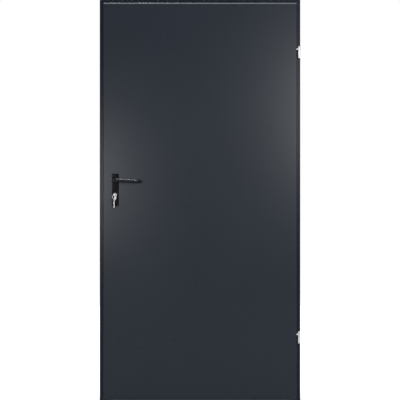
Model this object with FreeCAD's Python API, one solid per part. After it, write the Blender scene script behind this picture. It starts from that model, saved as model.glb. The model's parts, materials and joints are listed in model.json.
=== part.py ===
import FreeCAD, Part
import math
import os

# Steel door in a corner frame. Seen from the room, +X points to the hinge side, +Y into the wall, +Z up.
# The origin is on the back of the hinge jamb's face, in the middle of its width, at floor level.

# Frame
frame_width = 1006.0
frame_height = 2013.0
frame_sheet = 1.5
frame_bend = 1.5
face_width = 30.0
rebate_depth = 28.5
stop_width = 15.0
reveal_depth = 46.5
return_width = 15.0
groove_width = 5.5
groove_depth = 7.0
dowel_hole_radius = 5.5
dowel_lower_heights = (160.0, 720.0)
dowel_upper_drops = (733.0, 173.0)

# Leaf
side_gap = 5.0
floor_gap = 6.0
lip_width = 15.0
lip_gap = 5.0
lip_thickness = 14.5
leaf_thickness = 40.0
skin = 1.0
leaf_bend = 2.0
seal_gap = 0.4

# Seal
seal_foot_clearance = 0.25
seal_overhang = 7.5
seal_seat_gap = 0.2
seal_crown_shift = 1.5

# Lock and handle set
lever_height = 1105.0
backset = 45.0
lock_pitch = 72.0
lock_from_back = 10.5
case_depth = 70.0
case_height = 165.0
case_thickness = 15.0
case_above_lever = 42.0
lock_room_clearance = 0.5
forend_width = 18.0
forend_height = 235.0
forend_thickness = 3.0
latch_height = 28.0
latch_thickness = 10.0
latch_above_lever = 24.0
bolt_height = 34.0
bolt_thickness = 10.0
bolt_above_cylinder = 24.0
bolt_clearance = 0.4
bolt_reach = 0.5
bolt_tail = 30.0
plate_width = 33.0
plate_height = 162.0
plate_above_lever = 33.0
plate_thickness = 8.0
plate_corner = 4.0
plate_edge = 1.5
spindle_side = 9.0
spindle_clearance = 0.3
neck_radius = 9.6
neck_clearance = 0.3
neck_hole_clearance = 1.9
neck_seat_gap = 0.5
neck_length = 50.0
neck_bend = 12.0
lever_length = 128.0
lever_droop = 3.0
lever_return = 26.0
tip_radius = 7.8
tip_bend = 9.5
tip_chamfer = 2.0
lever_sides = 24
bend_steps = 5
spindle_socket = 34.0

# Cylinder and keys
cylinder_radius = 8.5
cylinder_tail_width = 10.0
cylinder_height = 33.0
cylinder_proud = 4.0
cylinder_clearance = 0.4
plug_radius = 6.5
plug_clearance = 0.05
plug_length = 28.0
key_thickness = 2.3
key_blade_height = 8.0
key_blade_depth = 24.0
key_stem = 4.0
key_cut_pitch = 4.0
key_cut_depths = (1.4, 1.9, 0.9, 2.3, 1.2)
key_cut_floor = 1.0
key_tip = 1.6
key_groove_width = 1.6
key_groove_depth = 0.6
keyway_clearance = 0.2
bow_radius = 11.5
bow_end_radius = 10.0
bow_to_eye = 6.5
eye_radius = 6.5
ring_radius = 8.5
ring_thickness = 1.2
ring_width = 1.8
ring_rise = 3.5
ring_lean = 50.0
spare_bow_radius = 10.0
spare_twist = 25.0
spare_eye_radius = 4.0
spare_eye_drop = 2.2
spare_web = 3.0
spare_shank = 30.0

# Hinges
lower_hinge_height = 319.0
upper_hinge_drop = 267.0
hinge_height = 61.0
hinge_radius = 7.0
hinge_split = 0.4
hinge_from_edge = 7.5
hinge_lug = 10.0
hinge_cap = 4.0
pin_radius = 4.0
pin_clearance = 0.3
pin_end_gap = 1.0
hinge_neck_radius = 5.0
hinge_neck_drop = 15.0
hinge_neck_hole_clearance = 0.2
hinge_tab_thickness = 3.0
hinge_tab_height = 60.0

# Keep in the lock jamb
keep_clearance = 1.2
keep_depth = 20.0
keep_wall = 0.7

# Places that follow from the sizes above
right_edge = face_width / 2
left_edge = right_edge - frame_width
middle_x = (left_edge + right_edge) / 2
face_front = -frame_sheet
stop_front = face_front + rebate_depth
rebate_half = frame_width / 2 - face_width
body_half = rebate_half - side_gap
lip_half = body_half + lip_width
lip_back = face_front - lip_gap
leaf_front = lip_back - lip_thickness
leaf_back = leaf_front + leaf_thickness
body_top = frame_height - face_width - side_gap
lip_top = body_top + lip_width
lock_edge = middle_x - body_half
lever_x = lock_edge + backset
lock_y = leaf_back - lock_from_back
cylinder_z = lever_height - lock_pitch
latch_z = lever_height + latch_above_lever
bolt_z = cylinder_z + bolt_above_cylinder
plate_front = leaf_front - plate_thickness
plate_back = leaf_back + plate_thickness
cylinder_front = plate_front - cylinder_proud
cylinder_back = plate_back + cylinder_proud
bow_y = cylinder_front - key_stem - bow_radius
eye_y = bow_y - bow_to_eye
hinge_x = right_edge - hinge_from_edge
hinge_heights = (lower_hinge_height, frame_height - upper_hinge_drop)
dowel_heights = dowel_lower_heights + tuple(frame_height - drop for drop in dowel_upper_drops)
hinge_y = leaf_front + lip_thickness / 2


def vec(x, y, z):
    return FreeCAD.Vector(x, y, z)


def box(x0, x1, y0, y1, z0, z1):
    return Part.makeBox(x1 - x0, y1 - y0, z1 - z0, vec(x0, y0, z0))


def rod(radius, length, base, direction):
    return Part.makeCylinder(radius, length, base, direction)


def edges_along(shape, direction, test):
    """Straight edges parallel to a direction whose middle passes the test."""
    found = []
    for edge in shape.Edges:
        ends = [v.Point for v in edge.Vertexes]
        if len(ends) != 2 or not isinstance(edge.Curve, Part.Line):
            continue
        run = ends[1].sub(ends[0])
        if abs(run.dot(direction)) > 0.999 * run.Length and test(edge.CenterOfMass):
            found.append(edge)
    return found


def extruded(outline, direction):
    return Part.Face(Part.Wire(outline)).extrude(direction)


def polygon_prism(points, direction):
    return Part.Face(Part.makePolygon(points + points[:1])).extrude(direction)


def bent_sheet(path, thickness, inner_radius):
    """Outline edges, in the XY plane, of a sheet folded along a path, with the sheet on the path's left."""
    points = [vec(x, y, 0) for x, y in path]
    runs = [(b - a).normalize() for a, b in zip(points, points[1:])]
    lefts = [vec(-r.y, r.x, 0) for r in runs]
    near, far = [], []
    near_start = points[0]
    far_start = points[0] + lefts[0] * thickness
    for i in range(1, len(points) - 1):
        turn_left = runs[i - 1].cross(runs[i]).z > 0
        middle = (lefts[i - 1] + lefts[i]).normalize()
        half = math.acos(max(-1.0, min(1.0, runs[i - 1].dot(runs[i])))) / 2
        near_radius = inner_radius + thickness if turn_left else inner_radius
        far_radius = inner_radius if turn_left else inner_radius + thickness
        side = 1 if turn_left else -1
        centre = points[i] + middle * (side * near_radius / math.cos(half))
        for radius, line, start in ((near_radius, near, near_start), (far_radius, far, far_start)):
            into = centre - lefts[i - 1] * (side * radius)
            out = centre - lefts[i] * (side * radius)
            line.append(Part.LineSegment(start, into).toShape())
            line.append(Part.Arc(into, centre - middle * (side * radius), out).toShape())
            if line is near:
                near_start = out
            else:
                far_start = out
    near_end = points[-1]
    far_end = points[-1] + lefts[-1] * thickness
    near.append(Part.LineSegment(near_start, near_end).toShape())
    far.append(Part.LineSegment(far_start, far_end).toShape())
    first = Part.LineSegment(points[0], points[0] + lefts[0] * thickness).toShape()
    last = Part.LineSegment(near_end, far_end).toShape()
    return near + [last] + far[::-1] + [first]


def frame_outline():
    """The frame's section: X runs from the outer edge towards the opening, Y into the wall."""
    path = [
        (0, face_front),
        (face_width, face_front),
        (face_width, stop_front + groove_depth),
        (face_width + groove_width, stop_front + groove_depth),
        (face_width + groove_width, stop_front),
        (face_width + stop_width, stop_front),
        (face_width + stop_width, stop_front + reveal_depth),
        (face_width + stop_width - return_width, stop_front + reveal_depth),
    ]
    return bent_sheet(path, frame_sheet, frame_bend)


def crown_arc(crown, end):
    """An arc from its highest point, where it runs along X, to an end point."""
    across = end.x - crown.x
    down = end.y - crown.y
    radius = (across**2 + down**2) / (2 * down)
    half_turn = math.atan2(across, radius - down) / 2
    middle = crown + vec(radius * math.sin(half_turn), radius * (1 - math.cos(half_turn)), 0)
    return Part.Arc(crown, middle, end).toShape()


def seal_outline():
    """The seal's section: a foot in the groove and a soft bulb that the leaf shuts against."""
    foot_left = face_width + seal_foot_clearance
    foot_right = face_width + groove_width - seal_foot_clearance
    foot_end = stop_front + groove_depth - frame_bend
    seat = stop_front - seal_seat_gap
    neck = vec(foot_left, seat, 0)
    heel = vec(foot_right + seal_overhang, seat, 0)
    crown = vec((neck.x + heel.x) / 2 + seal_crown_shift, leaf_back + seal_gap, 0)
    corners = [neck, vec(foot_left, foot_end, 0), vec(foot_right, foot_end, 0), vec(foot_right, seat, 0), heel]
    edges = [Part.LineSegment(a, b).toShape() for a, b in zip(corners, corners[1:])]
    return edges + [crown_arc(crown, heel), crown_arc(crown, neck)]


def mitred(edges):
    """The two uprights and the top member of one section, mitred at the corners: lock side, hinge side, head."""
    reach = 4 * face_width
    deep = 6 * rebate_depth
    upright = extruded(edges, vec(0, 0, frame_height))
    waste = polygon_prism(
        [
            vec(-reach, -deep, frame_height + reach),
            vec(reach, -deep, frame_height - reach),
            vec(reach, -deep, frame_height + reach),
        ],
        vec(0, 2 * deep, 0),
    )
    lock_side = upright.cut(waste)
    lock_side.translate(vec(left_edge, 0, 0))
    hinge_side = lock_side.mirror(vec(middle_x, 0, 0), vec(1, 0, 0))
    # the head's section hangs down from the top edge, so its outline turns about Y
    head = extruded(edges, vec(0, 0, frame_width))
    head.rotate(vec(0, 0, 0), vec(0, 1, 0), 90)
    head.translate(vec(left_edge, 0, frame_height))
    for corner, side in ((left_edge, 1), (right_edge, -1)):
        waste = polygon_prism(
            [
                vec(corner - side * reach, -deep, frame_height + reach),
                vec(corner + side * reach, -deep, frame_height - reach),
                vec(corner - side * reach, -deep, frame_height - reach),
            ],
            vec(0, 2 * deep, 0),
        )
        head = head.cut(waste)
    return lock_side, hinge_side, head


def dowel_holes(x):
    """Holes for wall dowels through the reveal leg of one jamb, near a place on the X axis."""
    y = stop_front + reveal_depth / 2
    holes = [
        rod(dowel_hole_radius, 4 * stop_width, vec(x - 2 * stop_width, y, z), vec(1, 0, 0))
        for z in dowel_heights
    ]
    return Part.makeCompound(holes)


def keep_windows(extra, x0, x1):
    """The rooms for the latch and the bolt behind the lock jamb's rebate leg."""
    y0 = lock_y - latch_thickness / 2 - extra
    y1 = lock_y + latch_thickness / 2 + extra
    latch = box(x0, x1, y0, y1, latch_z - latch_height / 2 - extra, latch_z + latch_height / 2 + extra)
    bolt = box(x0, x1, y0, y1, bolt_z - bolt_height / 2 - extra, bolt_z + bolt_height / 2 + extra)
    return latch, bolt


def make_frame():
    lock_side, hinge_side, head = mitred(frame_outline())
    opening_half = rebate_half - stop_width
    lock_side = lock_side.cut(dowel_holes(middle_x - opening_half))
    hinge_side = hinge_side.cut(dowel_holes(middle_x + opening_half))
    rebate_x = middle_x - rebate_half
    for room in keep_windows(keep_clearance, rebate_x - 2 * frame_sheet, rebate_x + frame_sheet):
        lock_side = lock_side.cut(room)
    seals = mitred(seal_outline())
    return {
        "lock_jamb": lock_side,
        "hinge_jamb": hinge_side,
        "head_member": head,
        "lock_side_seal": seals[0],
        "hinge_side_seal": seals[1],
        "head_seal": seals[2],
    }


def make_keep_box():
    """Two pressed pockets behind the lock jamb that the latch and the bolt go into."""
    back = middle_x - rebate_half - frame_sheet
    outer = keep_windows(keep_clearance + keep_wall, back - keep_depth, back)
    inner = keep_windows(keep_clearance, back - keep_depth + keep_wall, back + keep_wall)
    return Part.makeCompound([a.cut(b) for a, b in zip(outer, inner)])


def make_front_skin():
    left = middle_x - lip_half
    right = middle_x + lip_half
    outer = box(left, right, leaf_front, lip_back, floor_gap, lip_top)
    rounded = edges_along(outer, vec(0, 0, 1), lambda c: c.y < leaf_front + 0.1)
    rounded += edges_along(outer, vec(1, 0, 0), lambda c: c.y < leaf_front + 0.1 and c.z > lip_top - 0.1)
    outer = outer.makeFillet(leaf_bend, rounded)
    inner = box(
        left + skin,
        right - skin,
        leaf_front + skin,
        lip_back - skin,
        floor_gap + skin,
        lip_top - skin,
    )
    rounded = edges_along(inner, vec(0, 0, 1), lambda c: c.y < leaf_front + skin + 0.1)
    inner = inner.makeFillet(leaf_bend - skin, rounded)
    mouth = box(
        middle_x - body_half,
        middle_x + body_half,
        lip_back - 2 * skin,
        lip_back + skin,
        floor_gap - skin,
        body_top,
    )
    return outer.cut(inner).cut(mouth)


def back_edges(shape):
    """The long edges round a block's back face."""
    back = shape.BoundBox.YMax
    upright = edges_along(shape, vec(0, 0, 1), lambda c: abs(c.y - back) < 0.01)
    return upright + edges_along(shape, vec(1, 0, 0), lambda c: abs(c.y - back) < 0.01)


def make_back_skin():
    front = leaf_front + skin
    left = middle_x - body_half
    right = middle_x + body_half
    outer = box(left, right, front, leaf_back, floor_gap + skin, body_top)
    outer = outer.makeFillet(leaf_bend, back_edges(outer))
    inner = box(left + skin, right - skin, front - skin, leaf_back - skin, floor_gap + 2 * skin, body_top - skin)
    inner = inner.makeFillet(leaf_bend - skin, back_edges(inner))
    flange = box(
        middle_x - lip_half + 2 * skin,
        middle_x + lip_half - 2 * skin,
        front,
        front + skin,
        floor_gap + skin,
        lip_top - 2 * skin,
    )
    return outer.fuse(flange).cut(inner).removeSplitter()


def lock_room(clearance):
    """The space of the lock case."""
    top = lever_height + case_above_lever + clearance
    return box(
        lock_edge - skin,
        lock_edge + case_depth + clearance,
        lock_y - case_thickness / 2 - clearance,
        lock_y + case_thickness / 2 + clearance,
        top - case_height - 2 * clearance,
        top,
    )


def forend_middle():
    return lever_height + case_above_lever - case_height / 2


def forend_room():
    z = forend_middle()
    return box(
        lock_edge - 1,
        lock_edge + forend_thickness,
        lock_y - forend_width / 2,
        lock_y + forend_width / 2,
        z - forend_height / 2,
        z + forend_height / 2,
    )


def cylinder_profile(clearance, y0, y1):
    """The oval lock-cylinder section, a round head with a narrower tail below it, along Y."""
    top = rod(cylinder_radius + clearance, y1 - y0, vec(lever_x, y0, cylinder_z), vec(0, 1, 0))
    foot_radius = cylinder_tail_width / 2
    foot_z = cylinder_z + cylinder_radius - cylinder_height + foot_radius
    tail = box(
        lever_x - foot_radius - clearance,
        lever_x + foot_radius + clearance,
        y0,
        y1,
        foot_z,
        cylinder_z,
    )
    foot = rod(foot_radius + clearance, y1 - y0, vec(lever_x, y0, foot_z), vec(0, 1, 0))
    return top.fuse(tail).fuse(foot).removeSplitter()


def spindle_hole(radius, y0, y1):
    return rod(radius, y1 - y0, vec(lever_x, y0, lever_height), vec(0, 1, 0))


def make_leaf():
    front = make_front_skin()
    back = make_back_skin()
    core = box(
        middle_x - body_half + skin,
        middle_x + body_half - skin,
        leaf_front + skin,
        leaf_back - skin,
        floor_gap + 2 * skin,
        body_top - skin,
    )
    core = core.makeChamfer(leaf_bend - skin, back_edges(core))
    through = (leaf_front - 1, leaf_back + 1)
    for tool in (
        spindle_hole(neck_radius + neck_hole_clearance, *through),
        cylinder_profile(cylinder_clearance, *through),
    ):
        front = front.cut(tool)
        back = back.cut(tool)
    back = back.cut(forend_room()).cut(lock_room(lock_room_clearance))
    # the honeycomb stops short of the lock, over the full thickness
    room = lock_room(2 * lock_room_clearance).BoundBox
    core = core.cut(box(room.XMin, room.XMax, *through, room.ZMin, room.ZMax)).cut(forend_room())
    for z in hinge_heights:
        neck_z = z + hinge_height / 2 - hinge_neck_drop
        hole = rod(
            hinge_neck_radius + hinge_neck_hole_clearance,
            lip_width,
            vec(middle_x + lip_half - lip_width / 2, hinge_y, neck_z),
            vec(1, 0, 0),
        )
        front = front.cut(hole)
    return {"front_skin": front, "back_skin": back, "leaf_core": core}


def make_lock():
    case = lock_room(0)
    case = case.cut(box(lock_edge - 2 * skin, lock_edge + forend_thickness, -100, 100, 0, frame_height))
    face = lock_edge - bolt_reach
    tail = lock_edge + forend_thickness + bolt_tail

    def bolt(z, height, thickness, clearance, x0, x1):
        return box(
            x0,
            x1,
            lock_y - thickness / 2 - clearance,
            lock_y + thickness / 2 + clearance,
            z - height / 2 - clearance,
            z + height / 2 + clearance,
        )

    latch = bolt(latch_z, latch_height, latch_thickness, 0, face, tail)
    slope = polygon_prism(
        [
            vec(face - 1, lock_y - latch_thickness / 2 + 2, latch_z - latch_height),
            vec(face - 1, lock_y + latch_thickness, latch_z - latch_height),
            vec(face + 11, lock_y + latch_thickness, latch_z - latch_height),
        ],
        vec(0, 0, 2 * latch_height),
    )
    latch = latch.cut(slope)
    dead = bolt(bolt_z, bolt_height, bolt_thickness, 0, face, tail)
    plate = forend_room().common(box(lock_edge, lock_edge + forend_thickness, -100, 100, 0, frame_height))
    corners = edges_along(plate, vec(1, 0, 0), lambda c: True)
    plate = plate.makeFillet(forend_width / 2 - 0.5, corners)
    for tool in (
        bolt(latch_z, latch_height, latch_thickness, bolt_clearance, face - 5, tail + bolt_clearance),
        bolt(bolt_z, bolt_height, bolt_thickness, bolt_clearance, face - 5, tail + bolt_clearance),
    ):
        plate = plate.cut(tool)
        case = case.cut(tool)
    case = case.cut(spindle_hole(spindle_side * 0.8, leaf_front, leaf_back))
    case = case.cut(cylinder_profile(cylinder_clearance, leaf_front, leaf_back))
    return {"lock_case": case, "lock_forend": plate, "latch_bolt": latch, "dead_bolt": dead}


def make_plate(side):
    """A moulded handle plate: side is -1 on the room side and +1 on the back."""
    seat = leaf_front if side < 0 else leaf_back
    face = seat + side * plate_thickness
    z1 = lever_height + plate_above_lever
    z0 = z1 - plate_height
    half = plate_width / 2
    body = box(lever_x - half, lever_x + half, min(seat, face), max(seat, face), z0, z1)
    body = body.makeFillet(plate_corner, edges_along(body, vec(0, 1, 0), lambda c: True))
    rim = [e for e in body.Edges if all(abs(v.Point.y - face) < 0.01 for v in e.Vertexes)]
    body = body.makeChamfer(plate_edge, rim)
    body = body.cut(spindle_hole(neck_radius + neck_clearance, min(seat, face) - 1, max(seat, face) + 1))
    return body.cut(cylinder_profile(cylinder_clearance, min(seat, face) - 1, max(seat, face) + 1))


def bar_ring(centre, along, radius):
    """The corners of a many-sided, nearly round section that faces a level direction."""
    aside = vec(-along.y, along.x, 0)
    turns = [2 * math.pi * (k + 0.5) / lever_sides for k in range(lever_sides)]
    return [centre + aside * (radius * math.cos(t)) + vec(0, 0, radius * math.sin(t)) for t in turns]


def bend_rings(start, before, after, bend, radius):
    """Rings round a square bend that starts at a point and turns from one direction to another."""
    middle = start + after * bend
    rings = []
    for k in range(bend_steps + 1):
        turn = math.pi / 2 * k / bend_steps
        along = before * math.cos(turn) + after * math.sin(turn)
        out = before * math.sin(turn) - after * math.cos(turn)
        rings.append(bar_ring(middle + out * bend, along, radius))
    return rings


def bar_through(rings):
    """A closed bar whose flat sides run from each ring to the next."""
    faces = []
    for ring, after in zip(rings, rings[1:]):
        for k in range(lever_sides):
            corners = [ring[k - 1], ring[k], after[k], after[k - 1]]
            faces.append(Part.Face(Part.makePolygon(corners + corners[:1])))
    for ring in (rings[0], rings[-1]):
        faces.append(Part.Face(Part.makePolygon(ring + ring[:1])))
    return Part.makeSolid(Part.makeShell(faces))


def make_lever(side):
    """A round neck that bends into a tapered round grip, with its end turned back towards the leaf."""
    seat = leaf_front if side < 0 else leaf_back
    out = vec(0, side, 0)
    right = vec(1, 0, 0)
    back = vec(lever_x, seat + side * neck_seat_gap, lever_height)
    corner = vec(lever_x, seat + side * (plate_thickness + neck_length), lever_height)
    end_corner = corner + right * (lever_length - tip_radius)
    tip = end_corner - out * lever_return
    rings = [bar_ring(back, out, neck_radius)]
    rings += bend_rings(corner - out * neck_bend, out, right, neck_bend, neck_radius)
    rings += bend_rings(end_corner - right * tip_bend, right, out * -1, tip_bend, tip_radius)
    rings.append(bar_ring(tip + out * tip_chamfer, out * -1, tip_radius))
    rings.append(bar_ring(tip, out * -1, tip_radius - tip_chamfer))
    lever = bar_through(rings)
    half = spindle_side / 2 + spindle_clearance
    y0, y1 = sorted((back.y - side, seat + side * spindle_socket))
    lever = lever.cut(box(lever_x - half, lever_x + half, y0, y1, lever_height - half, lever_height + half))
    lever.rotate(vec(lever_x, 0, lever_height), vec(0, 1, 0), lever_droop)
    return lever


def make_handles():
    half = spindle_side / 2
    reach = spindle_socket - 2.0
    spindle = box(
        lever_x - half,
        lever_x + half,
        leaf_front - reach,
        leaf_back + reach,
        lever_height - half,
        lever_height + half,
    )
    spindle.rotate(vec(lever_x, 0, lever_height), vec(0, 1, 0), lever_droop)
    return {
        "front_plate": make_plate(-1),
        "back_plate": make_plate(1),
        "front_lever": make_lever(-1),
        "back_lever": make_lever(1),
        "lever_spindle": spindle,
    }


def key_blade(y0, y1, extra):
    half = key_blade_height / 2 + extra
    side = key_thickness / 2 + extra
    return box(lever_x - side, lever_x + side, y0, y1, cylinder_z - half, cylinder_z + half)


def disc_link(a, radius_a, b, radius_b):
    """Two discs and the straight flanks that touch both, as one outline in the plane X = 0."""
    run = b - a
    length = run.Length
    run.normalize()
    normal = vec(0, -run.z, run.y)
    lean = math.asin((radius_a - radius_b) / length)
    flanks = []
    for side in (1, -1):
        out = run * math.sin(lean) + normal * (side * math.cos(lean))
        flanks.append((a + out * radius_a, b + out * radius_b))
    (a0, b0), (a1, b1) = flanks
    return [
        Part.LineSegment(a0, b0).toShape(),
        Part.Arc(b0, b + run * radius_b, b1).toShape(),
        Part.LineSegment(b1, a1).toShape(),
        Part.Arc(a1, a - run * radius_a, a0).toShape(),
    ]


def make_cylinder():
    body = cylinder_profile(0, cylinder_front, cylinder_back)
    room = plug_radius + plug_clearance
    for start, side in ((cylinder_front, 1), (cylinder_back, -1)):
        base = vec(lever_x, start - side, cylinder_z)
        body = body.cut(rod(room, plug_length + 1.5, base, vec(0, side, 0)))
    plug = rod(plug_radius, plug_length, vec(lever_x, cylinder_front, cylinder_z), vec(0, 1, 0))
    slot_end = cylinder_front + key_blade_depth + 2 * keyway_clearance
    plug = plug.cut(key_blade(cylinder_front - 1, slot_end, keyway_clearance))
    back_plug = rod(plug_radius, plug_length, vec(lever_x, cylinder_back, cylinder_z), vec(0, -1, 0))
    back_plug = back_plug.cut(key_blade(cylinder_back - key_blade_depth, cylinder_back + 1, keyway_clearance))
    return {"lock_cylinder": body, "front_plug": plug, "back_plug": back_plug}


def toothed_blade(length):
    """A key's blade along +Y from the origin, with cuts in its lower edge, a side groove and a cut-back tip."""
    half = key_blade_height / 2
    side = key_thickness / 2
    blade = box(-side, side, 0, length, -half, half)
    through = vec(4 * side, 0, 0)
    for row, depth in enumerate(key_cut_depths):
        y = length - key_cut_pitch * (row + 1)
        notch = [
            vec(-2 * side, y - key_cut_floor / 2 - 2 * depth, -half - depth),
            vec(-2 * side, y + key_cut_floor / 2 + 2 * depth, -half - depth),
            vec(-2 * side, y + key_cut_floor / 2, -half + depth),
            vec(-2 * side, y - key_cut_floor / 2, -half + depth),
        ]
        blade = blade.cut(polygon_prism(notch, through))
    for edge in (-half, half):
        inward = key_tip if edge < 0 else -key_tip
        corner = [vec(-2 * side, length - key_tip, edge), vec(-2 * side, length, edge + inward)]
        corner.append(vec(-2 * side, length + key_tip, edge - inward))
        blade = blade.cut(polygon_prism(corner, through))
    groove_end = length + key_tip
    groove = box(side - key_groove_depth, 2 * side, 0, groove_end, 0, key_groove_width)
    return blade.cut(groove)


def make_key():
    half = key_thickness / 2
    outline = disc_link(
        vec(lever_x - half, bow_y, cylinder_z),
        bow_radius,
        vec(lever_x - half, eye_y, cylinder_z),
        bow_end_radius,
    )
    bow = extruded(outline, vec(key_thickness, 0, 0))
    start = bow_radius - key_stem
    blade = toothed_blade(key_stem + cylinder_front + key_blade_depth - bow_y - bow_radius)
    blade.translate(vec(lever_x, bow_y + start, cylinder_z))
    key = bow.fuse(blade).removeSplitter()
    eye = rod(eye_radius, 2 * key_thickness, vec(lever_x - key_thickness, eye_y, cylinder_z), vec(1, 0, 0))
    return key.cut(eye)


def rim_point():
    """The middle of the key's rim below its eye, which the ring hangs on."""
    return vec(lever_x, eye_y, cylinder_z - (eye_radius + bow_end_radius) / 2)


def ring_middle():
    lean = math.radians(ring_lean)
    drop = ring_radius - ring_rise
    return rim_point() + vec(-drop * math.sin(lean), 0, -drop * math.cos(lean))


def make_ring():
    """A split ring of flat wire, with its two turns shut tight."""
    middle = ring_middle()
    corners = [(-1, -1), (-1, 1), (1, 1), (1, -1)]
    section = [
        middle + vec(ring_radius + a * ring_thickness / 2, b * ring_width / 2, 0) for a, b in corners
    ]
    return Part.Face(Part.makePolygon(section + section[:1])).revolve(middle, vec(0, 1, 0), 360)


def make_spare_key():
    """A second key that hangs from the bottom of the ring, turned partly towards the viewer."""
    half = key_thickness / 2
    eye = ring_middle() - vec(0, 0, ring_radius + spare_eye_drop)
    bow = eye - vec(0, 0, spare_bow_radius - spare_eye_radius - spare_web)
    disc = rod(spare_bow_radius, key_thickness, bow - vec(half, 0, 0), vec(1, 0, 0))
    shank = toothed_blade(key_stem + spare_shank)
    shank.rotate(vec(0, 0, 0), vec(1, 0, 0), -90)
    shank.translate(bow - vec(0, 0, spare_bow_radius - key_stem))
    key = disc.fuse(shank).removeSplitter()
    key = key.cut(rod(spare_eye_radius, 2 * key_thickness, eye - vec(key_thickness, 0, 0), vec(1, 0, 0)))
    key.rotate(eye, vec(0, 0, 1), spare_twist)
    return key


def make_hinge(z):
    """Frame half, leaf half and pin of one hinge, centred on a height."""
    low = z - hinge_height / 2
    top = z + hinge_height / 2
    up = vec(0, 0, 1)
    axis = vec(hinge_x, hinge_y, 0)
    room = pin_radius + pin_clearance
    frame_half = rod(hinge_radius, hinge_height / 2 - hinge_split / 2, axis + vec(0, 0, low), up)
    lug = box(
        hinge_x - hinge_lug / 2,
        hinge_x + hinge_lug / 2,
        hinge_y,
        face_front,
        low,
        z - hinge_split / 2,
    )
    frame_half = frame_half.fuse(lug).removeSplitter()
    frame_half = frame_half.cut(rod(pin_radius, hinge_height / 2, axis + vec(0, 0, low + hinge_cap), up))
    pin_top = top - hinge_cap - pin_end_gap
    pin = rod(pin_radius, pin_top - low - hinge_cap, axis + vec(0, 0, low + hinge_cap), up)
    leaf_half = rod(hinge_radius, hinge_height / 2 - hinge_split / 2, axis + vec(0, 0, z + hinge_split / 2), up)
    neck_z = top - hinge_neck_drop
    tab_x = middle_x + lip_half - skin - hinge_tab_thickness
    neck = rod(hinge_neck_radius, hinge_x - tab_x, vec(tab_x, hinge_y, neck_z), vec(1, 0, 0))
    tab = box(
        tab_x,
        tab_x + hinge_tab_thickness,
        leaf_front + skin + leaf_bend,
        lip_back - skin,
        neck_z - hinge_tab_height / 2,
        neck_z + hinge_tab_height / 2,
    )
    leaf_half = leaf_half.fuse([neck, tab]).removeSplitter()
    leaf_half = leaf_half.cut(rod(room, top - hinge_cap - z, axis + vec(0, 0, z), up))
    return frame_half, leaf_half, pin


parts = {}
parts.update(make_frame())
parts["keep_pockets"] = make_keep_box()
parts.update(make_leaf())
parts.update(make_lock())
parts.update(make_handles())
parts.update(make_cylinder())
parts["key"] = make_key()
parts["key_ring"] = make_ring()
parts["spare_key"] = make_spare_key()
for place, height in zip(("lower", "upper"), hinge_heights):
    frame_half, leaf_half, pin = make_hinge(height)
    parts[place + "_hinge_frame_half"] = frame_half
    parts[place + "_hinge_leaf_half"] = leaf_half
    parts[place + "_hinge_pin"] = pin

os.makedirs("parts", exist_ok=True)
for name, shape in parts.items():
    shape.exportStep("parts/" + name + ".step")
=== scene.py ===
import json
import math

import bmesh
import bpy
from mathutils import Matrix, Vector
from mathutils.geometry import tessellate_polygon


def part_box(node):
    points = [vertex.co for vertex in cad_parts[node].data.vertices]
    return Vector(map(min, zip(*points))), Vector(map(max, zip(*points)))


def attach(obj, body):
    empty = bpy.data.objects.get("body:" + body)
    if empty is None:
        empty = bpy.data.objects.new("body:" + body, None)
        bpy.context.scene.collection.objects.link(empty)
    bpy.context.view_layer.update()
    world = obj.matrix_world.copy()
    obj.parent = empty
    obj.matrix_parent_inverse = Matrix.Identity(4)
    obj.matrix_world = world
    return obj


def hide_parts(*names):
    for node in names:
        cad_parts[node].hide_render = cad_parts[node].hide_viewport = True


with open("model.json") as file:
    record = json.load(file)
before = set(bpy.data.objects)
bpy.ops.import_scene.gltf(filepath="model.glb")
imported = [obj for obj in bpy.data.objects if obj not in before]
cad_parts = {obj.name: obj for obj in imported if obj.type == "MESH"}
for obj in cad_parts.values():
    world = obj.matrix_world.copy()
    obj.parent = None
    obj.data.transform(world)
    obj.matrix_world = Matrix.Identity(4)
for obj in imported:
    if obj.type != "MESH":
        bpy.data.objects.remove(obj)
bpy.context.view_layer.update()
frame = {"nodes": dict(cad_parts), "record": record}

# Places read from the frame, in metres
leaf_low, leaf_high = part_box("front_skin")
spindle_low, spindle_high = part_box("lever_spindle")
plug_low, plug_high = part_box("front_plug")
forend_low, forend_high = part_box("lock_forend")
ring_low, ring_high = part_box("key_ring")
jamb_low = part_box("lock_jamb")[0]
leaf_front = leaf_low.y
leaf_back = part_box("back_skin")[1].y
frame_face_y = jamb_low.y
frame_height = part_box("head_member")[1].z
middle_x = (jamb_low.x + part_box("hinge_jamb")[1].x) / 2
lever_x = (spindle_low.x + spindle_high.x) / 2
lever_height = (spindle_low.z + spindle_high.z) / 2
cylinder_z = (plug_low.z + plug_high.z) / 2
forend_y = (forend_low.y + forend_high.y) / 2
ring_middle = (ring_low + ring_high) / 2


# Materials

# what a noise texture gives lies mostly between these
noise_low = 0.3
noise_high = 0.7


def node_material(name):
    """A new material, its nodes, their links and its shader."""
    material = bpy.data.materials.new(name)
    material.use_nodes = True
    nodes = material.node_tree.nodes
    return material, nodes, material.node_tree.links, nodes["Principled BSDF"]


def noise(nodes, links, scale, detail=3.0, rough=0.5, stretch=(1, 1, 1)):
    """Noise in the piece's own space, which is the row frame in metres."""
    place = nodes.new("ShaderNodeTexCoord")
    sized = nodes.new("ShaderNodeMapping")
    sized.inputs["Scale"].default_value = stretch
    texture = nodes.new("ShaderNodeTexNoise")
    texture.inputs["Scale"].default_value = scale
    texture.inputs["Detail"].default_value = detail
    texture.inputs["Roughness"].default_value = rough
    links.new(place.outputs["Object"], sized.inputs["Vector"])
    links.new(sized.outputs["Vector"], texture.inputs["Vector"])
    return texture.outputs["Fac"]


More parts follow.
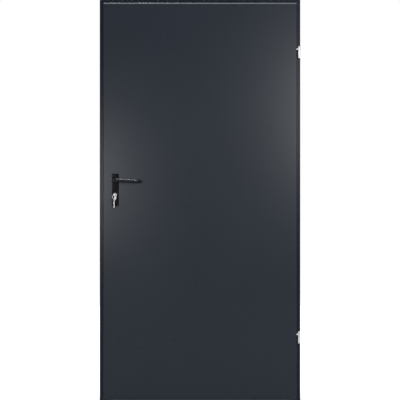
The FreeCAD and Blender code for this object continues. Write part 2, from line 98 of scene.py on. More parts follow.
def shaded(nodes, links, value, low, high):
    """A colour that follows noise from one colour to another."""
    node = nodes.new("ShaderNodeValToRGB")
    stops = ((noise_low, low), (noise_high, high))
    for element, (position, colour) in zip(node.color_ramp.elements, stops):
        element.position = position
        element.color = (*colour, 1)
    links.new(value, node.inputs["Fac"])
    return node.outputs["Color"]


def spread(nodes, links, value, low, high):
    """A number that follows noise from one number to another."""
    node = nodes.new("ShaderNodeMapRange")
    node.inputs["From Min"].default_value = noise_low
    node.inputs["From Max"].default_value = noise_high
    node.inputs["To Min"].default_value = low
    node.inputs["To Max"].default_value = high
    links.new(value, node.inputs["Value"])
    return node.outputs["Result"]


def worked_out(nodes, links, operation, first, second):
    """The outcome of an operation on two values, of which the second may be a plain number."""
    node = nodes.new("ShaderNodeMath")
    node.operation = operation
    links.new(first, node.inputs[0])
    if isinstance(second, float):
        node.inputs[1].default_value = second
    else:
        links.new(second, node.inputs[1])
    return node.outputs["Value"]


def bump(nodes, links, shader, height, strength, distance):
    """Relief from a texture, with its depth in metres."""
    node = nodes.new("ShaderNodeBump")
    node.inputs["Strength"].default_value = strength
    node.inputs["Distance"].default_value = distance
    links.new(height, node.inputs["Height"])
    links.new(node.outputs["Normal"], shader.inputs["Normal"])


def tint(colour, share):
    """The same colour, darker or lighter."""
    return tuple(c * share for c in colour)


def in_band(nodes, links, tests):
    """About 1 where every test of an axis against a level holds, broken up a little, and 0 elsewhere."""
    place = nodes.new("ShaderNodeTexCoord")
    split = nodes.new("ShaderNodeSeparateXYZ")
    links.new(place.outputs["Object"], split.inputs["Vector"])
    share = spread(nodes, links, noise(nodes, links, scale=35.0, detail=2.0), low=0.75, high=1.0)
    for axis, test, level in tests:
        within = worked_out(nodes, links, test, split.outputs[axis], level)
        share = worked_out(nodes, links, "MULTIPLY", share, within)
    return share


def paint(name, colour, rough, level, painted_highlight=None):
    """Satin powder coat: even colour, a fine orange-peel skin and slow changes of gloss."""
    material, nodes, links, shader = node_material(name)
    shader.inputs["Specular IOR Level"].default_value = level
    slow = noise(nodes, links, scale=2.2, detail=4.0)
    coat = shaded(nodes, links, slow, tint(colour, 0.93), tint(colour, 1.07))
    # painted highlight: inside the given band the coat's colour gives way to a lighter shade that stands in
    # for light caught there
    if painted_highlight:
        painted_highlight_mix = nodes.new("ShaderNodeMix")
        painted_highlight_mix.data_type = "RGBA"
        links.new(in_band(nodes, links, painted_highlight), painted_highlight_mix.inputs["Factor"])
        links.new(coat, painted_highlight_mix.inputs["A"])
        painted_highlight_mix.inputs["B"].default_value = (*painted_highlight_shade, 1)
        coat = painted_highlight_mix.outputs["Result"]
    links.new(coat, shader.inputs["Base Color"])
    gloss = noise(nodes, links, scale=5.0)
    links.new(spread(nodes, links, gloss, *rough), shader.inputs["Roughness"])
    bump(nodes, links, shader, noise(nodes, links, scale=330.0, detail=2.0), strength=0.05, distance=0.0002)
    return material


def metal(name, colour, rough, grain, stretch=(1, 1, 1)):
    """Plated or brushed metal with a directed grain."""
    material, nodes, links, shader = node_material(name)
    shader.inputs["Metallic"].default_value = 1.0
    lines = noise(nodes, links, grain, detail=3.0, rough=0.6, stretch=stretch)
    cloud = noise(nodes, links, scale=60.0)
    links.new(shaded(nodes, links, cloud, tint(colour, 0.88), colour), shader.inputs["Base Color"])
    links.new(spread(nodes, links, lines, *rough), shader.inputs["Roughness"])
    bump(nodes, links, shader, lines, strength=0.06, distance=0.0001)
    return material


def moulded(name, colour, rough, level, grain, relief):
    """Moulded plastic or rubber with a fine spark-eroded grain."""
    material, nodes, links, shader = node_material(name)
    shader.inputs["Specular IOR Level"].default_value = level
    cloud = noise(nodes, links, scale=90.0)
    links.new(shaded(nodes, links, cloud, tint(colour, 0.8), tint(colour, 1.2)), shader.inputs["Base Color"])
    gloss = noise(nodes, links, scale=45.0)
    links.new(spread(nodes, links, gloss, *rough), shader.inputs["Roughness"])
    bump(nodes, links, shader, noise(nodes, links, grain, detail=1.0), relief, distance=0.0001)
    return material


def paper(name):
    """Brown paper with fibres, for the honeycomb inside the leaf."""
    material, nodes, links, shader = node_material(name)
    fibre = noise(nodes, links, scale=260.0, detail=4.0, rough=0.6, stretch=(1, 1, 0.2))
    brown = shaded(nodes, links, fibre, (0.33, 0.23, 0.14), (0.48, 0.36, 0.23))
    links.new(brown, shader.inputs["Base Color"])
    shader.inputs["Roughness"].default_value = 0.9
    bump(nodes, links, shader, fibre, strength=0.4, distance=0.0004)
    return material


# a thin light line is painted along the leaf's top edge, just under its fold: a painted highlight, a lighter
# colour standing in for the light its rounded fold catches from above
painted_highlight_shade = (0.185, 0.193, 0.216)
painted_highlight_top = leaf_high.z - 0.0019
painted_highlight_bottom = leaf_high.z - 0.0060
painted_highlight_depth = leaf_front + 0.0005
painted_highlight_band = (
    ("Z", "GREATER_THAN", painted_highlight_bottom),
    ("Z", "LESS_THAN", painted_highlight_top),
    ("Y", "LESS_THAN", painted_highlight_depth),
)

leaf_paint = paint("leaf_paint", (0.0096, 0.0144, 0.0222), rough=(0.27, 0.29), level=0.145, painted_highlight=painted_highlight_band)
frame_paint = paint("frame_paint", (0.0038, 0.0080, 0.0145), rough=(0.25, 0.27), level=0.095)
zinc = metal("zinc", (0.395, 0.405, 0.42), rough=(0.32, 0.44), grain=900.0)
steel = metal("steel", (0.52, 0.52, 0.52), rough=(0.28, 0.40), grain=700.0, stretch=(1, 1, 0.1))
# the cylinder's nickel is darker than the keys': partly a satin finish, and partly painted shade where the
# key's bow shades its face
nickel = metal("nickel", (0.32, 0.315, 0.30), rough=(0.34, 0.42), grain=900.0, stretch=(1, 0.2, 1))
key_nickel = metal("key_nickel", (0.50, 0.475, 0.485), rough=(0.34, 0.42), grain=900.0, stretch=(1, 1, 0.2))
# the spare key's nickel is painted lighter than that of the key in the lock, as painted light on its thin
# shank
spare_nickel_painted_light = metal("spare_nickel_painted_light", (0.74, 0.70, 0.72), rough=(0.30, 0.40), grain=900.0, stretch=(1, 1, 0.2))
black_plastic = moulded(
    "black_plastic", (0.003, 0.0027, 0.0042), rough=(0.07, 0.10), level=0.06, grain=2200.0, relief=0.03
)
lever_plastic = moulded(
    "lever_plastic", (0.002, 0.0032, 0.0068), rough=(0.26, 0.34), level=0.13, grain=2200.0, relief=0.03
)
rubber = moulded("seal_rubber", (0.014, 0.014, 0.014), rough=(0.55, 0.70), level=0.3, grain=900.0, relief=0.2)
honeycomb = paper("honeycomb")

slot_materials = {
    "frame_paint": frame_paint,
    "leaf_paint": leaf_paint,
    "seal_rubber": rubber,
    "zinc": zinc,
    "steel": steel,
    "black_plastic": black_plastic,
    "nickel": nickel,
    "key_nickel": key_nickel,
    "honeycomb": honeycomb,
}

# every carried-over node takes the material of its slot
for row in frame["record"]["subparts"]:
    node_mesh = frame["nodes"][row["node"]].data
    node_mesh.materials.clear()
    node_mesh.materials.append(slot_materials[row["material_slot"]])


# Mesh helpers, which work in millimetres of the piece's own axes

mm = 0.001
X, Y, Z = Vector((1, 0, 0)), Vector((0, 1, 0)), Vector((0, 0, 1))
edge_steps = 5
smooth_angle = 40.0
sharpest_corner = 0.3


def axes(origin, first, second, third):
    """The matrix that puts a piece's own axes along three directions, from an origin in metres."""
    turn = Matrix((first, second, third)).transposed().to_4x4()
    return Matrix.Translation(origin) @ turn


def quarter(steps, first=0):
    """Angles from 0 to a quarter turn, in equal steps."""
    return [math.pi / 2 * k / steps for k in range(first, steps + 1)]


def eased(share):
    """A share from 0 to 1 that starts and ends slowly."""
    return share * share * (3 - 2 * share)


def circle(sides, radius, centre=0.0):
    """Points anticlockwise round a circle whose centre is on the first axis."""
    angles = [math.tau * k / sides for k in range(sides)]
    return [(centre + radius * math.cos(a), radius * math.sin(a)) for a in angles]


def join_rows(bm, rows):
    """Faces between each closed row of points and the next."""
    for row, after in zip(rows, rows[1:]):
        for k in range(len(row)):
            j = (k + 1) % len(row)
            bm.faces.new((row[k], row[j], after[j], after[k]))


def finished(name, bm, place, angle=smooth_angle):
    """A smooth-shaded piece made from a mesh in millimetres, put where a matrix says."""
    bmesh.ops.recalc_face_normals(bm, faces=bm.faces)
    bm.transform(place @ Matrix.Scale(mm, 4))
    mesh = bpy.data.meshes.new(name)
    bm.to_mesh(mesh)
    bm.free()
    for face in mesh.polygons:
        face.use_smooth = True
    mesh.set_sharp_from_angle(angle=math.radians(angle))
    piece = bpy.data.objects.new(name, mesh)
    bpy.context.scene.collection.objects.link(piece)
    weigh = piece.modifiers.new("weigh", "WEIGHTED_NORMAL")
    weigh.keep_sharp = True
    return piece


def insets(loop):
    """How far each point of a loop moves for one millimetre of inset, held back at sharp corners."""
    moves = []
    for k, point in enumerate(loop):
        before = Vector(point) - Vector(loop[k - 1])
        after = Vector(loop[(k + 1) % len(loop)]) - Vector(point)
        left_before = Vector((-before.y, before.x)).normalized()
        left_after = Vector((-after.y, after.x)).normalized()
        middle = (left_before + left_after).normalized()
        moves.append(middle / max(sharpest_corner, middle.dot(left_before)))
    return moves


def slab(name, outer, holes, low, high, edge, place, both=True):
    """A plate with rounded edges on both faces or the upper one.

    The outline runs anticlockwise and its holes clockwise. Each level is an inset and a depth.
    """
    levels = [(edge * (1 - math.cos(a)), high - edge * (1 - math.sin(a))) for a in quarter(edge_steps)]
    if both:
        under = [(edge * (1 - math.sin(a)), low + edge * (1 - math.cos(a))) for a in quarter(edge_steps)]
        levels = under[:-1] + levels
    else:
        levels = [(0.0, low)] + levels
    bm = bmesh.new()
    first, last = [], []
    for loop in [outer] + holes:
        moved = list(zip(loop, insets(loop)))
        rows = [
            [bm.verts.new((p[0] + move.x * inset, p[1] + move.y * inset, depth)) for p, move in moved]
            for inset, depth in levels
        ]
        join_rows(bm, rows)
        first.append(rows[0])
        last.append(rows[-1])
    for loops in (first, last):
        flat = [v for loop in loops for v in loop]
        for triangle in tessellate_polygon([[v.co for v in loop] for loop in loops]):
            bm.faces.new([flat[i] for i in triangle])
    return finished(name, bm, place)


def lofted(name, rings, place, angle=smooth_angle):
    """A closed body through rings of as many points each, with flat ends."""
    bm = bmesh.new()
    rows = [[bm.verts.new(point) for point in ring] for ring in rings]
    join_rows(bm, rows)
    bm.faces.new(rows[0])
    bm.faces.new(rows[-1][::-1])
    return finished(name, bm, place, angle)


def tube(name, sections, across, sides, place):
    """A closed body through round sections of (centre, along, radius), with across square to the path."""
    angles = [math.tau * k / sides for k in range(sides)]
    rings = []
    for centre, along, radius in sections:
        up = along.cross(across).normalized()
        rings.append([centre + up * (radius * math.cos(a)) + across * (radius * math.sin(a)) for a in angles])
    return lofted(name, rings, place)


def fitted(piece, body, slot, *nodes, finish=None):
    """Gives a piece its material, from its slot unless a finish is given, puts it in its body and hides the
    nodes it stands for.
    """
    piece.data.materials.append(finish or slot_materials[slot])
    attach(piece, body)
    if nodes:
        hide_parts(*nodes)
    return piece


# Levers

# the pieces' sizes are in millimetres, and their angles in degrees unless a comment says radians
neck_radius = 9.6
neck_rings = (0.5, 8.0, 20.0, 34.0)
neck_bend = 12.0
lever_out = 57.9
lever_length = 128.0
lever_droop = 3.0
lever_sides = 40
grip_rings = 16
bend_rings = 14
tip_radius = 7.8
tip_bend = 9.5
tip_return = 26.0
tip_round = 3.4
tip_rings = 6

# the share of the grip's taper that starts and ends slowly, while the rest is even
grip_eased = 0.35


def lever(name, node, side):
    """A round neck that sweeps into a tapering grip, with its end turned back and rounded off."""
    seat = leaf_front if side < 0 else leaf_back
    end = lever_length - tip_radius
    grip_run = end - tip_bend - neck_bend

    def grip_radius(x):
        """The grip's radius at a distance from the neck's middle."""
        share = min(1.0, max(0.0, (x - neck_bend) / grip_run))
        taper = eased(share) * grip_eased + share * (1 - grip_eased)
        return neck_radius + (tip_radius - neck_radius) * taper

    sections = [(Vector((0, v, 0)), Y, neck_radius) for v in (*neck_rings, lever_out - neck_bend)]
    for a in quarter(bend_rings, 1):
        centre = Vector((neck_bend * (1 - math.cos(a)), lever_out - neck_bend * (1 - math.sin(a)), 0))
        sections.append((centre, Vector((math.sin(a), math.cos(a), 0)), neck_radius))
    for k in range(1, grip_rings + 1):
        x = neck_bend + grip_run * k / grip_rings
        sections.append((Vector((x, lever_out, 0)), X, grip_radius(x)))
    for a in quarter(bend_rings, 1):
        centre = Vector((end - tip_bend * (1 - math.sin(a)), lever_out - tip_bend * (1 - math.cos(a)), 0))
        sections.append((centre, Vector((math.cos(a), -math.sin(a), 0)), tip_radius))
    for a in quarter(tip_rings):
        centre = Vector((end, lever_out - tip_return + tip_round * (1 - math.sin(a)), 0))
        sections.append((centre, -Y, tip_radius - tip_round * (1 - math.cos(a))))
    place = (
        Matrix.Translation((lever_x, seat, lever_height))
        @ Matrix.Rotation(math.radians(lever_droop), 4, "Y")
        @ Matrix.Diagonal((1, side, 1, 1))
    )
    piece = tube(name, sections, Z, lever_sides, place)
    if side < 0:
        # the mirror has turned its faces inwards
        piece.data.flip_normals()
    return fitted(piece, "lever_set", "black_plastic", node, finish=lever_plastic)


lever("lever_front_grip", "front_lever", -1)
lever("lever_back_grip", "back_lever", 1)


# Plates

plate_width = 33.0
plate_height = 162.0
plate_above_lever = 33.0
plate_thickness = 8.0
plate_corner = 4.0
plate_edge = 1.4
neck_gap = 0.35
head_radius = 8.5
tail_radius = 5.0
cylinder_height = 33.0
cylinder_gap = 0.4
head_steps = 40
tail_steps = 12
corner_steps = 6


def rounded_rectangle(x0, x1, z0, z1, corner):
    """The outline of a rectangle with round corners, anticlockwise."""
    points = []
    for cx, cz, start in (
        (x1 - corner, z0 + corner, -90),
        (x1 - corner, z1 - corner, 0),
        (x0 + corner, z1 - corner, 90),
        (x0 + corner, z0 + corner, 180),
    ):
        for k in range(corner_steps + 1):
            a = math.radians(start + 90 * k / corner_steps)
            points.append((cx + corner * math.cos(a), cz + corner * math.sin(a)))
    return points


def cylinder_outline(grow, rise=0.0):
    """The lock cylinder's section: a round head with a narrower tail below it."""
    head = head_radius + grow
    tail = tail_radius + grow
    meet = math.asin(tail / head)
    tail_centre = head_radius - cylinder_height + tail_radius
    points = []
    for k in range(head_steps + 1):
        a = -math.pi / 2 + meet + (math.tau - 2 * meet) * k / head_steps
        points.append((head * math.cos(a), head * math.sin(a) + rise))
    for k in range(tail_steps + 1):
        a = math.pi + math.pi * k / tail_steps
        points.append((tail * math.cos(a), tail_centre + tail * math.sin(a) + rise))
    return points


def handle_plate(name, node, side):
    """A short plate with round corners, a hole for the lever's neck and one for the cylinder."""
    seat = leaf_front if side < 0 else leaf_back
    # seen from its own front, so the room side's plate runs along X and the back one along -X
    across = X if side < 0 else -X
    place = axes((lever_x, seat, lever_height), across, Z, Vector((0, side, 0)))
    top = plate_above_lever
    outer = rounded_rectangle(-plate_width / 2, plate_width / 2, top - plate_height, top, plate_corner)
    neck_hole = circle(48, neck_radius + neck_gap)[::-1]
    cylinder_hole = cylinder_outline(cylinder_gap, (cylinder_z - lever_height) / mm)[::-1]
    piece = slab(name, outer, [neck_hole, cylinder_hole], 0.0, plate_thickness, plate_edge, place, both=False)
    return fitted(piece, "leaf", "black_plastic", node)


handle_plate("plate_front_shell", "front_plate", -1)
handle_plate("plate_back_shell", "back_plate", 1)


# Lock cylinder

cylinder_proud = 4.0
cylinder_reach = 64.0
cylinder_edge = 0.5
plug_bore = 6.55


def lock_cylinder():
    """The profile cylinder's body, through the leaf, with a bore round each plug."""
    front = leaf_front - (plate_thickness + cylinder_proud) * mm
    place = axes((lever_x, front, cylinder_z), X, Z, -Y)
    bore = circle(48, plug_bore)[::-1]
    piece = slab("cylinder_body", cylinder_outline(0.0), [bore], -cylinder_reach, 0.0, cylinder_edge, place)
    return fitted(piece, "leaf", "nickel", "lock_cylinder")


lock_cylinder()


# Keys and ring

key_half = 1.15
key_edge = 0.35
bow_radius = 11.5
bow_end_radius = 10.0
bow_steps = 22
eye_offset = 6.5
eye_radius = 6.5
key_stem = 4.0
blade_half = 4.0
blade_depth = 24.0
blade_steps = 64
blade_sharp_angle = 30.0
key_overlap = 0.6
spare_overlap = 0.8
spare_bow_radius = 10.0
spare_eye_radius = 4.0
spare_web = 3.0
spare_shank = 30.0
spare_twist = 25.0
spare_eye_drop = 2.2

# the cuts in the blade's lower edge, each its distance from the shoulder and its depth
key_cuts = ((4.2, 1.2), (8.0, 2.3), (11.8, 0.9), (15.6, 1.9), (19.4, 1.4))
cut_flat = 0.5
cut_slope = 1.1
tip_under = 2.6
tip_under_slope = 0.9
tip_over = 1.6
tip_over_slope = 0.7

# the blade's section through its thickness and height, with one milled groove in each side
blade_section = (
    (-key_half, -blade_half),
    (key_half, -blade_half),
    (key_half, -0.4),
    (key_half - 0.75, 0.0),
    (key_half - 0.75, 1.3),
    (key_half, 1.7),
    (key_half, blade_half),
    (-key_half, blade_half),
    (-key_half, 3.0),
    (-key_half + 0.6, 2.7),
    (-key_half + 0.6, 2.0),
    (-key_half, 1.7),
    (-key_half, -0.9),
)


def disc_link(a, radius_a, b, radius_b):
    """Two discs on the first axis, a left of b, joined by the straight flanks that touch both."""
    lean = math.asin((radius_b - radius_a) / (b - a))
    points = []
    for k in range(bow_steps + 1):
        t = -math.pi / 2 - lean + (math.pi + 2 * lean) * k / bow_steps
        points.append((b + radius_b * math.cos(t), radius_b * math.sin(t)))
    for k in range(bow_steps + 1):
        t = math.pi / 2 + lean + (math.pi - 2 * lean) * k / bow_steps
        points.append((a + radius_a * math.cos(t), radius_a * math.sin(t)))
    return points


def cut_depth(s):
    """How deep the blade's lower edge is cut at a distance from its shoulder."""
    slopes = [deep - max(0.0, abs(s - centre) - cut_flat) * cut_slope for centre, deep in key_cuts]
    return max(0.0, *slopes)


def key_blade(name, start, end, place):
    """A key's blade, from its shoulder to a slanted tip."""
    rings = []
    for k in range(blade_steps + 1):
        s = start + (end - start) * k / blade_steps
        left = end - s
        low = -blade_half + max(cut_depth(s - start), (tip_under - left) * tip_under_slope)
        high = blade_half - max(0.0, tip_over - left) * tip_over_slope
        rings.append([(s, min(max(h, low), high), t) for t, h in blade_section])
    return lofted(name, rings, place, blade_sharp_angle)


def key_in_lock():
    """The key stands in the plug, with its blade inside and its bow edge-on to the room."""
    bow_y = leaf_front - (plate_thickness + cylinder_proud + key_stem + bow_radius) * mm
    place = axes((lever_x, bow_y, cylinder_z), Y, Z, X)
    outer = disc_link(-eye_offset, bow_end_radius, 0.0, bow_radius)
    eye = circle(40, eye_radius, -eye_offset)[::-1]
    bow = slab("key_bow", outer, [eye], -key_half, key_half, key_edge, place)
    fitted(bow, "key_set", "key_nickel", "key")
    blade = key_blade("key_blade", bow_radius - key_overlap, bow_radius + key_stem + blade_depth, place)
    fitted(blade, "key_set", "key_nickel", "key")


key_in_lock()

ring_radius = 8.5
ring_wire = 1.2
ring_width = 1.8
ring_gap = 0.1
ring_corner = 0.22
ring_steps = 150

# where the two turns cross, in radians round the ring, and half the crossing's length
crossing_at = 1.9
crossing_half = 0.45


def split_ring():
    """Two turns of flat wire side by side, with one crossing and two cut ends."""
    wire = (ring_width - ring_gap) / 2
    shift = (wire + ring_gap) / 2
    section = []
    for a, b, start in ((1, -1, -90), (1, 1, 0), (-1, 1, 90), (-1, -1, 180)):
        for k in range(4):
            t = math.radians(start + 30 * k)
            r = a * (ring_wire / 2 - ring_corner) + ring_corner * math.cos(t)
            section.append((r, b * (wire / 2 - ring_corner) + ring_corner * math.sin(t)))
    rings = []
    for k in range(ring_steps + 1):
        t = crossing_half + (2 * math.tau - 2 * crossing_half) * k / ring_steps
        share = min(1.0, max(0.0, (t - (math.tau - crossing_half)) / (2 * crossing_half)))
        aside = -shift + 2 * shift * eased(share)
        cos, sin = math.cos(crossing_at + t), math.sin(crossing_at + t)
        rings.append([((ring_radius + r) * cos, (ring_radius + r) * sin, aside + w) for r, w in section])
    piece = lofted("split_ring", rings, axes(ring_middle, X, Z, -Y))
    return fitted(piece, "ring_set", "steel", "key_ring", finish=key_nickel)


split_ring()


def spare_key():
    """The small key hangs from the ring by its eye, with its flat side turned a little to the room."""
    eye_centre = ring_middle - Z * ((ring_radius + spare_eye_drop) * mm)
    twist = math.radians(spare_twist)
    across = Vector((-math.sin(twist), math.cos(twist), 0))
    through = Vector((math.cos(twist), math.sin(twist), 0))
    bow_drop = spare_bow_radius - spare_eye_radius - spare_web
    place = axes(eye_centre - Z * (bow_drop * mm), -Z, across, through)
    eye = circle(32, spare_eye_radius, -bow_drop)[::-1]
    bow = slab("spare_bow", circle(56, spare_bow_radius), [eye], -key_half, key_half, key_edge, place)
    fitted(bow, "ring_set", "key_nickel", "spare_key", finish=spare_nickel_painted_light)
    blade = key_blade("spare_blade", spare_bow_radius - spare_overlap, spare_bow_radius + spare_shank, place)
    fitted(blade, "ring_set", "key_nickel", "spare_key", finish=spare_nickel_painted_light)


spare_key()


# Screws

forend_screw_radius = 4.4
forend_screw_inset = 12.0
cylinder_screw_radius = 4.2
forend_screw_height = 0.35
plate_screw_radius = 4.2
plate_screw_inset = 9.0
plate_screw_height = 0.5
screw_edge = 0.3

cross_floor_low = -0.1
cross_floor_high = 0.04
cross_floor_edge = 0.02

# the cross recess and the disc under it, in shares of the head's radius
cross_reach = 0.55
cross_arm = 0.13
cross_floor = 0.62


def cross_outline(reach, arm):
    """A cross of four equal arms, anticlockwise."""
    return [
        (reach, -arm), (reach, arm), (arm, arm), (arm, reach), (-arm, reach), (-arm, arm),
        (-reach, arm), (-reach, -arm), (-arm, -arm), (-arm, -reach), (arm, -reach), (arm, -arm),
    ]


def screw_head(name, centre, out, aside, radius, height):
    """A cross-recess screw head whose face stands a given height over its seat."""
    place = axes(centre, aside, out.cross(aside), out)
    recess = cross_outline(radius * cross_reach, radius * cross_arm)[::-1]
    edge = min(screw_edge, height * 0.5)
    head = slab(name, circle(40, radius), [recess], 0.0, height, edge, place, both=False)
    fitted(head, "leaf", "zinc")
    disc = circle(24, radius * cross_floor)
    low, high = cross_floor_low, cross_floor_high
    floor = slab(name + "_recess", disc, [], low, high, cross_floor_edge, place, both=False)
    fitted(floor, "leaf", "zinc")


forend_screws = (forend_low.z + forend_screw_inset * mm, forend_high.z - forend_screw_inset * mm)
for letter, z in zip("ab", forend_screws):
    centre = (forend_low.x, forend_y, z)
    screw_head("forend_screw_" + letter, centre, -X, Y, forend_screw_radius, forend_screw_height)
centre = (forend_low.x, forend_y, cylinder_z)
screw_head("cylinder_screw", centre, -X, Y, cylinder_screw_radius, forend_screw_height)
plate_screws = (plate_above_lever - plate_screw_inset, plate_above_lever - plate_height + plate_screw_inset)
for letter, rise in zip("ab", plate_screws):
    centre = (lever_x, leaf_back + plate_thickness * mm, lever_height + rise * mm)
    screw_head("plate_screw_" + letter, centre, Y, X, plate_screw_radius, plate_screw_height)


# Hinges

hinge_radius = 7.0
hinge_sides = 48
lug_width = 10.0
lug_edge = 0.7
leaf_neck_radius = 5.0
leaf_neck_drop = 15.0
leaf_neck_sides = 40
hinge_split = 0.4
cap_height = 4.0
cap_groove = 0.15
cap_groove_depth = 0.22
barrel_chamfer = 0.45
washer_gap = 0.05
washer_inset = 0.6
washer_bore = 4.2
washer_edge = 0.08
adjuster_radius = 3.2
adjuster_seat = 0.25
adjuster_depth = 3.0
adjuster_height = 0.35
adjuster_edge = 0.25
hexagon_radius = 1.7
recess_floor_radius = 2.4
recess_floor_low = 2.6
recess_floor_high = 2.2
recess_floor_edge = 0.05

# the barrel's domed cap, as heights and radii
cap_dome = ((0.0, 3.6), (0.25, 5.0), (0.7, 6.0), (1.4, 6.7), (2.2, hinge_radius))


def barrel(name, length, cap_first, place):
    """Half a hinge barrel with a domed cap on its outer end and a small chamfer where the halves meet."""
    outline = [
        *cap_dome,
        (cap_height - cap_groove, hinge_radius),
        (cap_height, hinge_radius - cap_groove_depth),
        (cap_height + cap_groove, hinge_radius),
        (length - barrel_chamfer, hinge_radius),
        (length, hinge_radius - barrel_chamfer),
    ]
    if not cap_first:
        outline = [(length - height, radius) for height, radius in reversed(outline)]
    return tube(name, [(Z * height, Z, radius) for height, radius in outline], X, hinge_sides, place)


def hinge(where):
    """The frame half with its lug, the leaf half with its neck, a washer and an adjusting screw."""
    fixed, turning = where + "_hinge_frame_half", where + "_hinge_leaf_half"
    pin_low, pin_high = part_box(where + "_hinge_pin")
    fixed_low, fixed_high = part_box(fixed)
    x, y = (pin_low.x + pin_high.x) / 2, (pin_low.y + pin_high.y) / 2
    half = (fixed_high.z - fixed_low.z) / mm
    foot = Matrix.Translation((x, y, fixed_low.z))
    lower = barrel(where + "_hinge_lower_barrel", half, True, foot)
    fitted(lower, "frame", "zinc", fixed)
    reach = (frame_face_y - y) / mm
    side = lug_width / 2
    outer = [(-side, 0), (side, 0), (side, reach), (-side, reach)]
    lug = slab(where + "_hinge_lug", outer, [], 0.0, half, lug_edge, foot)
    fitted(lug, "frame", "zinc", fixed)
    split = fixed_high.z + hinge_split * mm
    upper = barrel(where + "_hinge_upper_barrel", half, False, Matrix.Translation((x, y, split)))
    fitted(upper, "leaf", "zinc", turning)
    neck_z = split + (half - leaf_neck_drop) * mm
    neck_run = (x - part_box(turning)[0].x) / mm
    sections = [(-X * run, -X, leaf_neck_radius) for run in (0.0, neck_run / 2, neck_run)]
    neck = tube(where + "_hinge_neck", sections, Y, leaf_neck_sides, Matrix.Translation((x, y, neck_z)))
    fitted(neck, "leaf", "zinc", turning)
    outer = circle(hinge_sides, hinge_radius - washer_inset)
    bore = circle(32, washer_bore)[::-1]
    low, high = washer_gap, hinge_split - washer_gap
    top = Matrix.Translation((x, y, fixed_high.z))
    washer = slab(where + "_hinge_washer", outer, [bore], low, high, washer_edge, top)
    fitted(washer, "frame", "steel")
    seat = axes((x + (hinge_radius - adjuster_seat) * mm, y, neck_z), Y, Z, X)
    outer = circle(32, adjuster_radius)
    hexagon = circle(6, hexagon_radius)[::-1]
    low, high = -adjuster_depth, adjuster_height
    screw = slab(where + "_hinge_screw", outer, [hexagon], low, high, adjuster_edge, seat, both=False)
    fitted(screw, "leaf", "zinc")
    outer = circle(24, recess_floor_radius)
    low, high = -recess_floor_low, -recess_floor_high
    floor = slab(where + "_hinge_screw_floor", outer, [], low, high, recess_floor_edge, seat, both=False)
    fitted(floor, "leaf", "zinc")


for where in ("lower", "upper"):
    hinge(where)


# Stage

floor_reach = 40.0
floor_drop = 0.0005
floor_shade = 0.6
floor_glow = 0.93
contact_reach = 0.25


def seen_white(nodes, links):
    """1 for what the camera sees, directly, in a gloss or through glass, and 0 for light on matt surfaces."""
    path = nodes.new("ShaderNodeLightPath")
    total = path.outputs["Is Camera Ray"]
    for ray in ("Is Glossy Ray", "Is Transmission Ray"):
        total = worked_out(nodes, links, "MAXIMUM", total, path.outputs[ray])
    return total


def pale(name):
    """A pale surface that shows near white and still takes the object's shadow."""
    material, nodes, links, shader = node_material(name)
    shader.inputs["Base Color"].default_value = (floor_shade, floor_shade, floor_shade, 1)
    shader.inputs["Roughness"].default_value = 0.9
    shader.inputs["Specular IOR Level"].default_value = 0.0
    shader.inputs["Emission Color"].default_value = (1, 1, 1, 1)
    # the glow fades close to the object, so its foot and the gap under the leaf keep their shadow
    near = nodes.new("ShaderNodeAmbientOcclusion")
    near.inputs["Distance"].default_value = contact_reach
    glow = worked_out(nodes, links, "MULTIPLY", seen_white(nodes, links), floor_glow)
    glow = worked_out(nodes, links, "MULTIPLY", near.outputs["AO"], glow)
    links.new(glow, shader.inputs["Emission Strength"])
    return material


floor_mesh = bpy.data.meshes.new("floor")
floor_mesh.from_pydata(
    [
        (-floor_reach, -floor_reach, -floor_drop),
        (floor_reach, -floor_reach, -floor_drop),
        (floor_reach, floor_reach, -floor_drop),
        (-floor_reach, floor_reach, -floor_drop),
    ],
    [],
    [(0, 1, 2, 3)],
)
floor_mesh.materials.append(pale("floor_pale"))
floor = bpy.data.objects.new("floor", floor_mesh)
bpy.context.scene.collection.objects.link(floor)


# Light

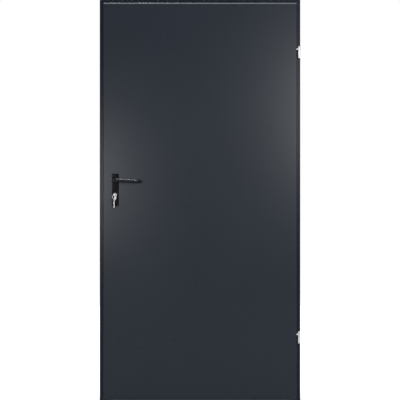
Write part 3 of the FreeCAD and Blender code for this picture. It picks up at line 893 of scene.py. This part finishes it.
# each lamp's name, its place and aim from the door's middle, its width, height and power
lamps = (
    # two tall soft boxes far in front of the door, whose glow lies on the leaf's two sides
    ("key_left", (-1.05, -4.0, 1.20), (-0.4, 0, 1.2), 0.25, 0.9, 27),
    ("key_right", (1.60, -4.0, 1.80), (0.4, 0, 1.4), 0.5, 1.1, 95),
    ("edge_right", (0.95, -4.0, 1.87), (0.4, 0, 1.4), 0.25, 1.1, 7),
    # two strips above the door, for its top edge and the handle
    ("top", (0.0, -0.10, 4.0), (0.0, -0.05, 1.0), 1.4, 0.1, 22),
    ("handle_top", (-0.42, -0.14, 4.0), (-0.42, -0.07, 1.0), 0.5, 0.1, 90),
    # two wide soft boxes for the other side
    ("back_left", (-1.7, 4.0, 2.1), (-0.2, 0, 1.1), 1.2, 1.2, 75),
    ("back_right", (1.7, 4.0, 2.1), (0.2, 0, 1.1), 1.2, 1.2, 75),
)
for name, place, aim, width, height, power in lamps:
    lamp_data = bpy.data.lights.new(name, "AREA")
    lamp_data.shape = "RECTANGLE"
    lamp_data.size = width
    lamp_data.size_y = height
    lamp_data.energy = power
    lamp = bpy.data.objects.new(name, lamp_data)
    bpy.context.scene.collection.objects.link(lamp)
    lamp.location = (middle_x + place[0], *place[1:])
    beam = Vector((middle_x + aim[0], *aim[1:])) - lamp.location
    lamp.rotation_euler = beam.to_track_quat("-Z", "Y").to_euler()

# the world is white to look at and lights matt surfaces only a little
sky_light = 0.18
world = bpy.data.worlds.new("studio")
bpy.context.scene.world = world
world.use_nodes = True
sky = world.node_tree.nodes["Background"]
sky.inputs["Color"].default_value = (1, 1, 1, 1)
sky_seen = world.node_tree.nodes.new("ShaderNodeMapRange")
sky_seen.inputs["To Min"].default_value = sky_light
sky_seen.inputs["To Max"].default_value = 1.0
world.node_tree.links.new(seen_white(world.node_tree.nodes, world.node_tree.links), sky_seen.inputs["Value"])
world.node_tree.links.new(sky_seen.outputs["Result"], sky.inputs["Strength"])


# Camera

# square on from the middle; the photo cuts off the last few millimetres of the frame
camera_distance = 5.0
sensor = 36.0
seen_share = 0.997
view_height = frame_height * seen_share
camera_data = bpy.data.cameras.new("camera")
camera_data.sensor_width = sensor
camera_data.lens = sensor * camera_distance / view_height
camera_data.clip_end = 200.0
camera = bpy.data.objects.new("camera", camera_data)
bpy.context.scene.collection.objects.link(camera)
camera.location = (middle_x, frame_face_y - camera_distance, frame_height / 2)
camera.rotation_euler = (math.radians(90), 0, 0)
bpy.context.scene.camera = camera

bpy.context.scene.view_settings.view_transform = "Standard"
